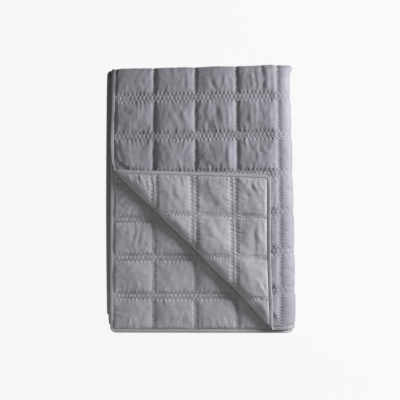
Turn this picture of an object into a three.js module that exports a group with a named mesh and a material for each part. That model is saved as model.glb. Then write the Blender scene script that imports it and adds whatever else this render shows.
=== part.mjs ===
// A quilted bedspread, folded in four both ways into a flat packet, with the
// loose corner of the top layer turned back over it.
//
// The cloth is drawn flat, as it is cut: u runs across it and v along it, from
// the corner that ends up on top. It is then folded in the order a person
// folds it, and each fold tucks the far part under the near part.
//
// Millimetres. +Z is up, X runs across the packet and Y along it. The origin
// is the middle of the packet's underside.

import * as THREE from "three";

// Cut size of the bedspread, edge to edge
const CUT_WIDTH = 1800;
const CUT_LENGTH = 2500;

// One layer of padded cloth, and the air between folded layers
const LAYER = 4.6;
const LAYER_GAP = 0.4;

// Binding sewn round the edge: its width, how full it is along its middle and
// how thin at its edges. The panel is drawn in to the same thin edge, over a
// short ditch beside the binding.
const BINDING_WIDTH = 8.5;
const BINDING_CROWN = 4;
const SEWN_EDGE = 2.2;
const DITCH_WIDTH = 9;
const PIECE_GAP = 0.3;

// Rounding of the cut's corners
const CORNER_RADIUS = 14;
const LEAST_RADIUS = 1.5;
const CORNER_STEPS = 4;

// Quilting seams: lengthwise ones lie at steps of u, crosswise ones at steps
// of v. Depth is how far a seam pulls each face in.
const SEAMS = {
  lengthwise: { first: 100, pitch: 99.4, count: 17, halfWidth: 8, depth: 1.7 },
  crosswise: { first: 90, pitch: 92.8, count: 26, halfWidth: 13, depth: 1.7 },
};
const SHOULDER_SHARE = 0.4;

// The folds, in order. near: the cloth before the bend. skew: degrees that the
// fold line is off square. steps: flats round the bend. square: the bend's
// section, 2 for a circle and more for a squarer one. tighter: the share of
// its reach that the bend has lost at the packet's far end.
const FOLDS = [
  { across: "v", near: 1239.5, skew: -0.03, steps: 5, square: 2, tighter: 0 },
  { across: "u", near: 888, skew: 0.1, steps: 5, square: 2, tighter: 0 },
  { across: "v", near: 610, skew: 0.1, steps: 7, square: 2, tighter: 0 },
  { across: "u", near: 397, skew: 0.05, steps: 12, square: 4.5, tighter: 0.16 },
];

// Share of a stack's thickness at which the cloth in a bend keeps its length
const BEND_NEUTRAL = 0.75;

// The corner of the top layer, turned back along a line at 45 degrees:
// how far it is carried, the loop left at the crease, the run in which the
// turned cloth settles down, and how far off its mirror place the corner lands
const TURN = {
  carry: 542,
  loopAtEnds: 5.2,
  loopAtMiddle: 9.8,
  steps: 7,
  settle: 70,
  settleSteps: 3,
  cornerDx: -1,
  cornerDy: -10,
};

// Small shifts of the packet's corners, as it was laid by hand: x, y and z
// name the corner, 0 or 1 each way
const LEAN = [
  { x: 0, y: 0, z: 1, dx: 0, dy: 0 },
  { x: 1, y: 0, z: 1, dx: 7, dy: 0 },
  { x: 0, y: 1, z: 1, dx: 4, dy: -6 },
  { x: 1, y: 1, z: 1, dx: -1.5, dy: 3 },
  { x: 0, y: 0, z: 0, dx: 1, dy: 5 },
  { x: 1, y: 0, z: 0, dx: 7, dy: 4 },
  { x: 0, y: 1, z: 0, dx: 0, dy: -11 },
  { x: 1, y: 1, z: 0, dx: -1.5, dy: 0 },
];

const CLOTH_COLOUR = 0x97969c;
const BINDING_COLOUR = 0x9c9ba0;

const TOUCH = 1e-4;
const CROSSING_TRIES = 8;
const DIAGONAL = Math.SQRT1_2;
const bendLength = (stack) => Math.PI * (BEND_NEUTRAL * stack + LAYER_GAP / 2);
const smooth = (t) => t * t * (3 - 2 * t);
const clamp01 = (t) => Math.min(Math.max(t, 0), 1);

// Thickness of the stack of layers before each fold, and when all are made
const STACKS = FOLDS.map((fold, i) => 2 ** i * (LAYER + LAYER_GAP) - LAYER_GAP);
const FULL_STACK = 2 ** FOLDS.length * (LAYER + LAYER_GAP) - LAYER_GAP;

// Width and length of the packet
const PACKET_WIDTH = FOLDS[3].near + STACKS[3];
const PACKET_LENGTH = FOLDS[2].near + STACKS[2];

// The part of the cut cloth that is outside on top, past its two bends too
const PAST_BEND = 8;
const TOP_WIDTH = FOLDS[3].near + bendLength(STACKS[3]) + PAST_BEND;
const TOP_LENGTH = FOLDS[2].near + bendLength(STACKS[2]) + PAST_BEND;

// Legs of the turned corner, of what it covers, and of what it leaves open
const TURN_LEG = TURN.carry * DIAGONAL;
const COVERED_LEG = TURN_LEG - 12;
const UNCOVERED_LEG = TURN_LEG + 24;

// A flat sheet as polygons. Each point has its place on the cut cloth, u and
// v, and the places in space of the cloth's under face and over face.
function makeSheet() {
  return { points: [], polygons: [] };
}

function addPoint(sheet, u, v, low, high) {
  const under = new THREE.Vector3(u, v, low);
  const over = new THREE.Vector3(u, v, high);
  sheet.points.push({ u, v, under, over });
  return sheet.points.length - 1;
}

function pointBetween(p, q, share) {
  return {
    u: THREE.MathUtils.lerp(p.u, q.u, share),
    v: THREE.MathUtils.lerp(p.v, q.v, share),
    under: p.under.clone().lerp(q.under, share),
    over: p.over.clone().lerp(q.over, share),
  };
}

// The point between two others at which the offset is zero
function crossing(p, q, offset) {
  let [near, far] = offset(p) < 0 ? [p, q] : [q, p];
  let point = near;
  for (let i = 0; i < CROSSING_TRIES; i++) {
    const [before, after] = [offset(near), offset(far)];
    point = pointBetween(near, far, before / (before - after));
    const here = offset(point);
    if (Math.abs(here) < TOUCH) break;
    if (here < 0) near = point;
    else far = point;
  }
  return point;
}

function middleOf(sheet, polygon) {
  const middle = { u: 0, v: 0 };
  for (const i of polygon) {
    middle.u += sheet.points[i].u / polygon.length;
    middle.v += sheet.points[i].v / polygon.length;
  }
  return middle;
}

// Cuts every polygon in the zone along the line where offset(point) is zero.
// A polygon outside the zone takes up the new points on the edges it shares.
function cutAlong(sheet, offset, inZone = () => true) {
  const offsets = sheet.points.map((p) => {
    const d = offset(p);
    return Math.abs(d) < TOUCH ? 0 : d;
  });
  const cuts = new Map();
  const keyOf = (a, b) => Math.min(a, b) + "_" + Math.max(a, b);
  const wanted = sheet.polygons.map((polygon) => inZone(middleOf(sheet, polygon)));
  sheet.polygons.forEach((polygon, n) => {
    if (!wanted[n]) return;
    polygon.forEach((a, i) => {
      const b = polygon[(i + 1) % polygon.length];
      if (offsets[a] * offsets[b] < 0 && !cuts.has(keyOf(a, b))) {
        const cut = crossing(sheet.points[a], sheet.points[b], offset);
        cuts.set(keyOf(a, b), sheet.points.push(cut) - 1);
      }
    });
  });
  const result = [];
  sheet.polygons.forEach((polygon, n) => {
    const loop = [];
    polygon.forEach((a, i) => {
      loop.push(a);
      const cut = cuts.get(keyOf(a, polygon[(i + 1) % polygon.length]));
      if (cut !== undefined) loop.push(cut);
    });
    const side = (i) => (i < offsets.length ? offsets[i] : 0);
    const before = loop.filter((i) => side(i) <= 0);
    const after = loop.filter((i) => side(i) >= 0);
    const crosses = loop.some((i) => side(i) < 0) && loop.some((i) => side(i) > 0);
    if (wanted[n] && crosses) result.push(before, after);
    else result.push(loop);
  });
  sheet.polygons = result;
}

// How far out a bend's section lies at an angle, where a circle lies at 1
function bendReach(angle, square) {
  const across = Math.abs(Math.sin(angle)) ** square;
  const up = Math.abs(Math.cos(angle)) ** square;
  return (across + up) ** (-1 / square);
}

// Tucks the part past a fold's line under the rest of the stack
function tuckUnder(sheet, fold, stack) {
  const heading = THREE.MathUtils.degToRad(fold.skew + (fold.across === "v" ? 90 : 0));
  const away = new THREE.Vector3(Math.cos(heading), Math.sin(heading), 0);
  const start = fold.near * (fold.across === "v" ? away.y : away.x);
  const length = bendLength(stack);
  for (let i = 0; i <= fold.steps; i++) {
    const line = start + (length * i) / fold.steps;
    const offset = (p) => (p.under.dot(away) + p.over.dot(away)) / 2 - line;
    cutAlong(sheet, offset);
  }
  for (const point of sheet.points) {
    for (const place of [point.under, point.over]) {
      const past = place.dot(away) - start;
      if (past > 0) {
        const angle = Math.PI * Math.min(past / length, 1);
        const radius = (place.z + LAYER_GAP / 2) * bendReach(angle, fold.square);
        const reach = 1 - (fold.tighter * place.y) / PACKET_LENGTH;
        const moved = radius * reach * Math.sin(angle) - Math.max(past - length, 0);
        place.addScaledVector(away, moved - past);
        place.z = radius * Math.cos(angle) - LAYER_GAP / 2;
      }
      place.z += stack + LAYER_GAP;
    }
  }
}

// The loop of the turned corner at a place along the crease, the length of
// cloth in it, and how far past its start the place is, towards the corner
function turnAt(p) {
  const along = ((p.v - p.u) * Math.SQRT2) / TURN.carry;
  const bulge = Math.cos((Math.PI / 2) * along) ** 2;
  const loop = THREE.MathUtils.lerp(TURN.loopAtEnds, TURN.loopAtMiddle, bulge);
  const bend = Math.PI * (loop - LAYER / 2);
  const past = (TURN.carry + bend) / 2 - (p.u + p.v) * DIAGONAL;
  return { loop, bend, past };
}

// Turns the loose corner of the top layer up and over
function turnBack(sheet) {
  const bed = FULL_STACK - LAYER;
  const cutAfter = (bends, run) =>
    cutAlong(sheet, (p) => {
      const { bend, past } = turnAt(p);
      return past - bend * bends - run;
    });
  for (let i = 0; i <= TURN.steps; i++) cutAfter(i / TURN.steps, 0);
  for (let i = 1; i <= TURN.settleSteps; i++) cutAfter(1, (TURN.settle * i) / TURN.settleSteps);
  for (const point of sheet.points) {
    const { loop, bend, past } = turnAt(point);
    if (past <= 0) continue;
    const angle = Math.PI * Math.min(past / bend, 1);
    const flat = Math.max(past - bend, 0);
    const drop = (2 * loop - 2 * LAYER - LAYER_GAP) * smooth(clamp01(flat / TURN.settle));
    const share = (2 * flat) / TURN.carry;
    for (const place of [point.under, point.over]) {
      const radius = loop - (place.z - bed);
      const moved = (past - radius * Math.sin(angle) + flat) * DIAGONAL;
      place.x += moved + TURN.cornerDx * share;
      place.y += moved + TURN.cornerDy * share;
      place.z = bed + loop - radius * Math.cos(angle) - drop;
    }
  }
}

// Shifts the packet's corners a little, each point by its share of them
function lean(sheet) {
  for (const point of sheet.points) {
    for (const place of [point.under, point.over]) {
      const x = place.x / PACKET_WIDTH;
      const y = place.y / PACKET_LENGTH;
      const z = place.z / FULL_STACK;
      for (const corner of LEAN) {
        const share = (corner.x ? x : 1 - x) * (corner.y ? y : 1 - y) * (corner.z ? z : 1 - z);
        place.x += corner.dx * share;
        place.y += corner.dy * share;
      }
    }
  }
}

function foldUp(sheet) {
  FOLDS.forEach((fold, i) => tuckUnder(sheet, fold, STACKS[i]));
  turnBack(sheet);
  lean(sheet);
}

// The cut's outline, drawn in by some distance, as u and v pairs
function outline(inset) {
  const radius = Math.max(CORNER_RADIUS - inset, LEAST_RADIUS);
  const reach = inset + radius;
  const centres = [
    [CUT_WIDTH - reach, reach],
    [CUT_WIDTH - reach, CUT_LENGTH - reach],
    [reach, CUT_LENGTH - reach],
    [reach, reach],
  ];
  return centres.flatMap(([u, v], corner) =>
    Array.from({ length: CORNER_STEPS + 1 }, (_, i) => {
      const angle = (Math.PI / 2) * (corner - 1 + i / CORNER_STEPS);
      return [u + radius * Math.cos(angle), v + radius * Math.sin(angle)];
    }),
  );
}

// Rings of cloth between outlines of the cut, from the outermost inwards
function addRows(sheet, rows) {
  const loops = rows.map(({ inset, thick }) =>
    outline(inset).map(([u, v]) => addPoint(sheet, u, v, (LAYER - thick) / 2, (LAYER + thick) / 2)),
  );
  for (let row = 0; row + 1 < loops.length; row++) {
    const [outer, inner] = loops.slice(row, row + 2);
    outer.forEach((a, i) => {
      const next = (i + 1) % outer.length;
      sheet.polygons.push([a, outer[next], inner[next], inner[i]]);
    });
  }
  return loops;
}

// The places on the cut that show when it is folded: the top layer, but for
// what the turned corner covers, and the corner of the layer under it
const inTop = (p) => p.u < TOP_WIDTH - TOUCH && p.v < TOP_LENGTH - TOUCH;
const fromTurned = (p) => p.u + p.v - UNCOVERED_LEG;
const fromUncovered = (p) => p.u + CUT_LENGTH - p.v - UNCOVERED_LEG;

function shows(p) {
  const covered = fromTurned(p) > TOUCH && p.u < COVERED_LEG - TOUCH && p.v < COVERED_LEG - TOUCH;
  return (inTop(p) && !covered) || fromUncovered(p) < -TOUCH;
}

// How far the nearest seam of one kind pulls a face in at a distance
function seamPull(seams, distance) {
  const off = Math.abs(distance);
  const shoulder = 1 - (1 - SHOULDER_SHARE) * Math.min(off / seams.halfWidth, 1);
  const crown = clamp01((off - seams.halfWidth) / (seams.pitch / 2 - seams.halfWidth));
  return seams.depth * shoulder * (1 - smooth(crown));
}

function fromSeam(seams, at) {
  const step = THREE.MathUtils.clamp(Math.round((at - seams.first) / seams.pitch), 0, seams.count - 1);
  return at - seams.first - step * seams.pitch;
}

function quiltingPull(u, v) {
  const across = seamPull(SEAMS.lengthwise, fromSeam(SEAMS.lengthwise, u));
  const along = seamPull(SEAMS.crosswise, fromSeam(SEAMS.crosswise, v));
  return Math.max(across, along);
}

// Cuts the showing part of the panel at its seams, their edges and the middles
// of the squares, so that the quilting can be pressed into its points
function cutAtSeams(sheet) {
  for (const [seams, way] of [[SEAMS.lengthwise, "u"], [SEAMS.crosswise, "v"]]) {
    for (let i = 0; i < seams.count; i++) {
      const at = seams.first + i * seams.pitch;
      for (const step of [-seams.halfWidth, 0, seams.halfWidth, seams.pitch / 2]) {
        cutAlong(sheet, (p) => p[way] - at - step, shows);
      }
    }
  }
}

function quiltedPanel() {
  const sheet = makeSheet();
  const rim = BINDING_WIDTH + PIECE_GAP;
  const loops = addRows(sheet, [
    { inset: rim, thick: SEWN_EDGE },
    { inset: rim + DITCH_WIDTH, thick: LAYER },
  ]);
  sheet.polygons.push(loops[1]);
  cutAlong(sheet, (p) => p.u - TOP_WIDTH);
  cutAlong(sheet, (p) => p.v - TOP_LENGTH);
  cutAlong(sheet, fromUncovered);
  cutAlong(sheet, fromTurned, inTop);
  cutAlong(sheet, (p) => p.u - COVERED_LEG, inTop);
  cutAlong(sheet, (p) => p.v - COVERED_LEG, inTop);
  cutAtSeams(sheet);
  for (const point of sheet.points) {
    if (!shows(point)) continue;
    const room = (point.over.z - point.under.z - SEWN_EDGE / 2) / 2;
    const pull = Math.min(quiltingPull(point.u, point.v), room);
    point.under.z += pull;
    point.over.z -= pull;
  }
  foldUp(sheet);
  return sheet;
}

// A flat ring round the panel, fuller along its middle than at its edges
function edgeBinding() {
  const sheet = makeSheet();
  addRows(sheet, [
    { inset: 0, thick: SEWN_EDGE },
    { inset: BINDING_WIDTH / 2, thick: BINDING_CROWN },
    { inset: BINDING_WIDTH, thick: SEWN_EDGE },
  ]);
  foldUp(sheet);
  return sheet;
}

// Corners of a polygon as triangles: a fan from the corner that gives the
// fullest triangles, or from the polygon's middle where every fan has a sliver
function triangles(sheet, polygon) {
  const area = (a, b, c) => {
    const [p, q, r] = [a, b, c].map((i) => sheet.points[i]);
    return ((q.u - p.u) * (r.v - p.v) - (q.v - p.v) * (r.u - p.u)) / 2;
  };
  const fan = (first) => {
    const turned = [...polygon.slice(first), ...polygon.slice(0, first)];
    return turned.slice(2).map((c, i) => [turned[0], turned[i + 1], c]);
  };
  const smallest = (faces) => Math.min(...faces.map((face) => area(...face)));
  const fans = polygon.map((_, i) => fan(i)).sort((a, b) => smallest(b) - smallest(a));
  if (smallest(fans[0]) > TOUCH) return fans[0];
  const middle = sheet.points.length;
  const share = 1 / polygon.length;
  const centre = { u: 0, v: 0, under: new THREE.Vector3(), over: new THREE.Vector3() };
  for (const i of polygon) {
    centre.u += sheet.points[i].u * share;
    centre.v += sheet.points[i].v * share;
    centre.under.addScaledVector(sheet.points[i].under, share);
    centre.over.addScaledVector(sheet.points[i].over, share);
  }
  sheet.points.push(centre);
  return polygon.map((a, i) => [a, polygon[(i + 1) % polygon.length], middle]);
}

// Order of places along an edge, so that edges side by side split alike
const nearness = (p) => p.u + p.v;

// A closed skin: the over faces, the under faces turned round, and the rim
function skinOf(sheet) {
  const faces = sheet.polygons.flatMap((polygon) => triangles(sheet, polygon));
  const count = sheet.points.length;
  const index = [];
  const edges = new Set();
  for (const [a, b, c] of faces) {
    index.push(a + count, b + count, c + count, a, c, b);
    for (const [from, to] of [[a, b], [b, c], [c, a]]) edges.add(from + "_" + to);
  }
  for (const edge of edges) {
    const [from, to] = edge.split("_").map(Number);
    if (edges.has(to + "_" + from)) continue;
    const forward = nearness(sheet.points[from]) < nearness(sheet.points[to]);
    if (forward) index.push(from, to, to + count, from, to + count, from + count);
    else index.push(from, to, from + count, to, to + count, from + count);
  }
  const places = [...sheet.points.map((p) => p.under), ...sheet.points.map((p) => p.over)];
  const skin = new THREE.BufferGeometry().setFromPoints(places);
  skin.setIndex(index);
  skin.computeVertexNormals();
  return skin;
}

function clothMesh(name, sheet, color) {
  const material = new THREE.MeshStandardMaterial({ color, roughness: 0.9, metalness: 0 });
  const mesh = new THREE.Mesh(skinOf(sheet), material);
  mesh.name = name;
  return mesh;
}

const bedspread = new THREE.Group();
bedspread.add(clothMesh("quilted_panel", quiltedPanel(), CLOTH_COLOUR));
bedspread.add(clothMesh("edge_binding", edgeBinding(), BINDING_COLOUR));

// The packet stands on the origin's plane, with its middle over the origin
const extent = new THREE.Box3().setFromObject(bedspread);
const middle = extent.getCenter(new THREE.Vector3());
for (const mesh of bedspread.children) mesh.position.set(-middle.x, -middle.y, -extent.min.z);

export default bedspread;
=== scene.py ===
import math
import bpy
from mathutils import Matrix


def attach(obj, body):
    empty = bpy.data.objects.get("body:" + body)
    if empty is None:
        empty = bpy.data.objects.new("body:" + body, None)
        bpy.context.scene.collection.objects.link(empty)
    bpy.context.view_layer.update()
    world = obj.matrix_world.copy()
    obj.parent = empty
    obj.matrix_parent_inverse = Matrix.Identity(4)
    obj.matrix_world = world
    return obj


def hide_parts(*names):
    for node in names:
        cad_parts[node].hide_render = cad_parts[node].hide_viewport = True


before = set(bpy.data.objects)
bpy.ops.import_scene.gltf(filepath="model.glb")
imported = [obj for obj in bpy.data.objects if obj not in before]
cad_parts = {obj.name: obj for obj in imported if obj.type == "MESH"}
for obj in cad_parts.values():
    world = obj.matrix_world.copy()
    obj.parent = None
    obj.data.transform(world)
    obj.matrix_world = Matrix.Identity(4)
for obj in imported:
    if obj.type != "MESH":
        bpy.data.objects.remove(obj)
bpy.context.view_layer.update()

from types import SimpleNamespace as Sizes

import bpy
import numpy as np
from mathutils import Vector

# A quilted bedspread, folded in four both ways, with a loose corner of its top layer
# turned back. The cloth is drawn flat, u across it and v along it, in millimetres, with
# the quilting, the gathers and the creases worked into its two faces, and is then folded.

METRES = 0.001

# The cut cloth, its layers and its binding, in the sizes of the solids
CUT_WIDTH = 1800.0
CUT_LENGTH = 2500.0
LAYER = 4.6
LAYER_GAP = 0.4
BINDING_WIDTH = 8.5
PIECE_GAP = 0.3
CORNER_RADIUS = 14.0
RIM = BINDING_WIDTH + PIECE_GAP

# Folds in order: which way, cloth before the bend, degrees off square, how square the
# bend's section is at its near and far ends, and the share of its reach that it loses
# towards the far end
FOLDS = (
    ("v", 1239.5, -0.03, (2.0, 2.0), 0.0),
    ("u", 888.0, 0.03, (2.0, 2.0), 0.0),
    ("v", 610.0, 0.1, (2.6, 2.6), 0.0),
    ("u", 397.0, 0.05, (2.8, 2.9), 0.16),
)
HALF_LENGTH, HALF_WIDTH, END_FOLD, SIDE_FOLD = (fold[1] for fold in FOLDS)
BEND_NEUTRAL = 0.75
STACKS = [2**i * (LAYER + LAYER_GAP) - LAYER_GAP for i in range(len(FOLDS))]
BENDS = [math.pi * (BEND_NEUTRAL * stack + LAYER_GAP / 2) for stack in STACKS]
FULL_STACK = 2 ** len(FOLDS) * (LAYER + LAYER_GAP) - LAYER_GAP
PACKET_WIDTH = SIDE_FOLD + STACKS[3]
PACKET_LENGTH = END_FOLD + STACKS[2]
PACKET_MIDDLE = (217.2, 308.907)

# The turned corner: how far its tip is carried, the tight bend at the fold, the slope up
# from it at the fold's ends and in its middle, the bend over the crest, how far the fold
# lifts off its bed, and the run over which the corner settles
TURN_CARRY = 542.0
TURN_LEG = TURN_CARRY * math.sqrt(0.5)
TIGHT_BEND = 5.0
SLOPE = (0.12, 0.26)
SLOPE_RUN = 11.0
CREST_BEND = 32.0
LOFT = 3.8
LOFT_RUN = 60.0
TURN_SETTLE = 110.0

# The fold lies back from a straight line by a curve along its length. The corner slips in
# x and y as it lies, and its edge towards the rolled side bows in and curls up
FOLD_BACK = (4.0, 2.6, -3.2)
CORNER_SLIP = (-4.0, -18.0)
CORNER_BOW = Sizes(inward=3.2, width=70.0, from_fold=40.0)
CORNER_CURL = Sizes(rise=2.0, width=10.0)

# The top layer's free edge curls up at its near end and hangs a little at its far end
FREE_EDGE_CURL = Sizes(rise=2.4, width=12.0, hang=1.5)
CURL_SHAPE = 1.3

# Small slips: the fold's lower tip, the cut end of the layer below, and the free edge of
# the top layer beside the fold
TIP_SLIP = 2.5
CUT_END_SLIP = 2.4
FREE_EDGE_SLIP = 4.0

# How far the layer below the corner reaches past the packet's near end
BELOW_PAST = 9.5

# How the packet's corners lean: x, y and z of the corner, then its shift in x and y. The
# top corner at the origin stays
LEAN = (
    (1, 0, 1, 7, 0),
    (0, 1, 1, 4, -6),
    (1, 1, 1, -1.5, 3),
    (0, 0, 0, 4, 8),
    (1, 0, 0, 7, 6),
    (0, 1, 0, 0, -11),
    (1, 1, 0, -1.5, 0),
)

# Its open side and its rolled side belly out, the open side less towards the top, and the
# rolled side's far corner sticks out
BELLY = Sizes(open=4.5, rolled=3.0, less=0.55, shape=0.6)
EAR = Sizes(x=428.0, y=634.0, out=15.0, width=17.0, up=(0.45, 0.75))

# The two faces of the cloth: the inner one shows on the turned corner and the layer
# below it, the outer one on the rest
INNER = 0
OUTER = 1

# Quilting: lengthwise seams are one zigzag row, crosswise seams are bands of two
LENGTHWISE = Sizes(first=102.6, pitch=99.2, count=17, row=0.0, swing=2.8, period=7.2)
CROSSWISE = Sizes(first=92.3, pitch=92.8, count=26, row=6.0, swing=4.0, period=9.6)
BAND_HALF = CROSSWISE.row + CROSSWISE.swing

# The seams drift a little off their lines in the turned corner, and spread: in u and in v
SEAM_DRIFT = (4.0, -2.5)
SEAM_SPREAD = (0.03, 0.022)
DRIFT_RUN = 60.0


def smooth(t):
    t = np.clip(t, 0.0, 1.0)
    return t * t * (3.0 - 2.0 * t)


def ramp(at, start, end):
    """A soft rise from 0 at start to 1 at end."""
    return smooth((at - start) / (end - start))


def between(span, share):
    """The value a share of the way along a span."""
    return span[0] + (span[1] - span[0]) * share


def hump(off, half_width):
    return np.exp(-((off / half_width) ** 2))


def curl(off, width):
    """How far an edge is curled, from 1 at the edge to 0 at the curl's width."""
    return np.clip(1 - off / width, 0.0, 1.0) ** CURL_SHAPE


def tuck_under(x, y, z, fold, stack, bend):
    """The cloth past a fold tucked under the rest, which rises by the stack."""
    way, near, skew, squares, tighter = fold
    along = y / PACKET_LENGTH
    square = between(squares, np.clip(along, 0.0, 1.0))
    heading = math.radians(skew + (90 if way == "v" else 0))
    away_x, away_y = math.cos(heading), math.sin(heading)
    past = x * away_x + y * away_y - near * (away_y if way == "v" else away_x)
    angle = math.pi * np.clip(past / bend, 0.0, 1.0)
    section = np.abs(np.sin(angle)) ** square + np.abs(np.cos(angle)) ** square
    radius = (z + LAYER_GAP / 2) * section ** (-1 / square)
    moved = radius * (1 - tighter * along) * np.sin(angle) - np.maximum(past - bend, 0.0)
    shift = np.where(past > 0, moved - past, 0.0)
    under = np.where(past > 0, radius * np.cos(angle) - LAYER_GAP / 2, z)
    return x + shift * away_x, y + shift * away_y, under + stack + LAYER_GAP


def turn_back(u, v, x, y, z):
    """The loose corner: lifted, turned over a tight bend, sloping up to a crest, settling."""
    bed = FULL_STACK - LAYER
    depth = z - bed
    along = np.clip((v - u) * math.sqrt(2) / TURN_CARRY, -1.0, 1.0)
    bulge = 1 - np.where(along > 0, along**4, along**12)
    slope = between(SLOPE, bulge)
    slope_run = SLOPE_RUN * bulge
    loft = LOFT * bulge
    back = FOLD_BACK[0] + FOLD_BACK[1] * along + FOLD_BACK[2] * along**2

    # Cloth past the fold's start is on the tight bend, the slope, the crest or the flat
    tight_run = (math.pi - slope) * (TIGHT_BEND - LAYER / 2)
    crest_run = slope * (CREST_BEND - LAYER / 2)
    run = tight_run + slope_run + crest_run
    carried = (CREST_BEND - TIGHT_BEND) * np.sin(slope) + slope_run * np.cos(slope)
    past = (TURN_CARRY + run - carried) / 2 - back - (u + v) * math.sqrt(0.5)
    turned = past > 0
    climb = np.clip(past - tight_run, 0.0, slope_run)
    over_crest = np.clip((past - tight_run - slope_run) / crest_run, 0.0, 1.0)
    flat = np.maximum(past - run, 0.0)

    angle = (math.pi - slope) * np.clip(past / tight_run, 0.0, 1.0) + slope * over_crest
    radius = np.where(over_crest > 0, CREST_BEND, TIGHT_BEND)
    wider = radius - TIGHT_BEND
    out = (radius - depth) * np.sin(angle) - wider * np.sin(slope) - climb * np.cos(slope)
    up = TIGHT_BEND - (radius - depth) * np.cos(angle)
    up = up - wider * np.cos(slope) + climb * np.sin(slope)
    crest = TIGHT_BEND + CREST_BEND - (CREST_BEND - TIGHT_BEND) * np.cos(slope)
    crest = crest + slope_run * np.sin(slope) + loft
    drop = (crest - 2 * LAYER - LAYER_GAP) * smooth(flat / TURN_SETTLE)

    curled = curl(v, CORNER_CURL.width)
    curled = curled * ramp(u, 10, 40) * ramp(u, TURN_LEG - 30, TURN_LEG - 70)
    down = np.clip(u / TURN_LEG, 0.0, 1.0)
    bow = CORNER_BOW.inward * (4 * down * (1 - down)) ** 2
    bow = bow * ramp(v, CORNER_BOW.width, 0) * smooth(flat / CORNER_BOW.from_fold)
    slipped = 2 * flat / TURN_CARRY
    near = smooth(1 + past / LOFT_RUN)
    moved = (np.where(turned, past - out + flat, 0.0) + 2 * back * near) * math.sqrt(0.5)
    return (
        x + moved + CORNER_SLIP[0] * slipped - bow,
        y + moved + CORNER_SLIP[1] * slipped,
        np.where(turned, bed + up - drop + CORNER_CURL.rise * curled, z) + loft * near,
    )


def lean(x, y, z):
    """The packet as it really lies: its corners shifted, its sides bellied, its ear out."""
    across = x / PACKET_WIDTH
    along = y / PACKET_LENGTH
    up = z / FULL_STACK
    belly = BELLY.rolled * across - BELLY.open * (1 - across) * (1 - BELLY.less * up)
    lean_x = np.clip(4 * along * (1 - along), 0.0, 1.0) ** BELLY.shape * belly
    lean_y = np.zeros_like(y)
    for corner_x, corner_y, corner_z, shift_x, shift_y in LEAN:
        share = across if corner_x else 1 - across
        share = share * (along if corner_y else 1 - along)
        share = share * (up if corner_z else 1 - up)
        lean_x += shift_x * share
        lean_y += shift_y * share
    ear = hump(np.hypot(x - EAR.x, y - EAR.y), EAR.width) * ramp(up, *EAR.up)
    lean_x += EAR.out * ear
    return x + lean_x, y + lean_y, z


def curl_up(u, v, z):
    """The top layer's free edge above the turned corner, curled."""
    share = ramp(v, TURN_LEG, TURN_LEG + 20) * ramp(v, 680, 630)
    share = share * (1 - FREE_EDGE_CURL.hang * (v - TURN_LEG) / (END_FOLD + 10 - TURN_LEG))
    return z + FREE_EDGE_CURL.rise * curl(u, FREE_EDGE_CURL.width) * share


def slip(u, v, x, y):
    """Single layers and edges, slipped a little out of line."""
    on_top = ramp(u, 500, 440)
    tip = ramp(u, 330, 380) * on_top * ramp(v, 260, 40)
    cut_end = ramp(v, CUT_LENGTH - 65, CUT_LENGTH - 5) * on_top
    free_edge = ramp(v, 560, 370) * ramp(v, TURN_LEG, TURN_LEG + 20) * ramp(u, 60, 0)
    return x - FREE_EDGE_SLIP * free_edge, y - TIP_SLIP * tip - CUT_END_SLIP * cut_end


def fold_up(u, v, w):
    """Places in metres of points of the flat cloth, w above its inner face."""
    x, y, z = u, v, w
    for fold, stack, bend in zip(FOLDS, STACKS, BENDS):
        x, y, z = tuck_under(x, y, z, fold, stack, bend)
    x, y, z = turn_back(u, v, x, y, curl_up(u, v, z))
    x, y = slip(u, v, x, y)
    x, y, z = lean(x, y, z)
    z = np.maximum(z, 0.0)
    return np.stack([x - PACKET_MIDDLE[0], y - PACKET_MIDDLE[1], z], axis=-1) * METRES


def round_corners(u, v):
    """The flat cloth with its four corners rounded."""
    far_u, far_v = u > CUT_WIDTH / 2, v > CUT_LENGTH / 2
    from_u = np.where(far_u, CUT_WIDTH - u, u)
    from_v = np.where(far_v, CUT_LENGTH - v, v)
    p = np.clip(1 - from_u / CORNER_RADIUS, 0.0, 1.0)
    q = np.clip(1 - from_v / CORNER_RADIUS, 0.0, 1.0)
    drawn_u = from_u + CORNER_RADIUS * p * (1 - np.sqrt(1 - q * q / 2))
    drawn_v = from_v + CORNER_RADIUS * q * (1 - np.sqrt(1 - p * p / 2))
    return (
        np.where(far_u, CUT_WIDTH - drawn_u, drawn_u),
        np.where(far_v, CUT_LENGTH - drawn_v, drawn_v),
    )


def seam_drift(u, v):
    share = smooth((TURN_LEG + 40 - u - v) / DRIFT_RUN)
    drift_u = SEAM_DRIFT[0] + SEAM_SPREAD[0] * (u - LENGTHWISE.first)
    drift_v = SEAM_DRIFT[1] + SEAM_SPREAD[1] * (v - CROSSWISE.first)
    return drift_u * share, drift_v * share


def along_seams(u, v):
    """Places of the flat cloth measured so that every seam is straight."""
    drift_u, drift_v = seam_drift(u, v)
    return u - drift_u, v - drift_v


def off_seams(seam_u, seam_v):
    """The way back from along_seams."""
    u, v = seam_u, seam_v
    for _ in range(4):
        drift_u, drift_v = seam_drift(u, v)
        u, v = seam_u + drift_u, seam_v + drift_v
    return u, v


# Where the top layer and the rolled end of the layers below have turned out of sight
TOP_OUT = Sizes(u=480.0, v=650.0)
LOW_END = Sizes(u=(440.0, 880.0), v=613.0)


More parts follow.
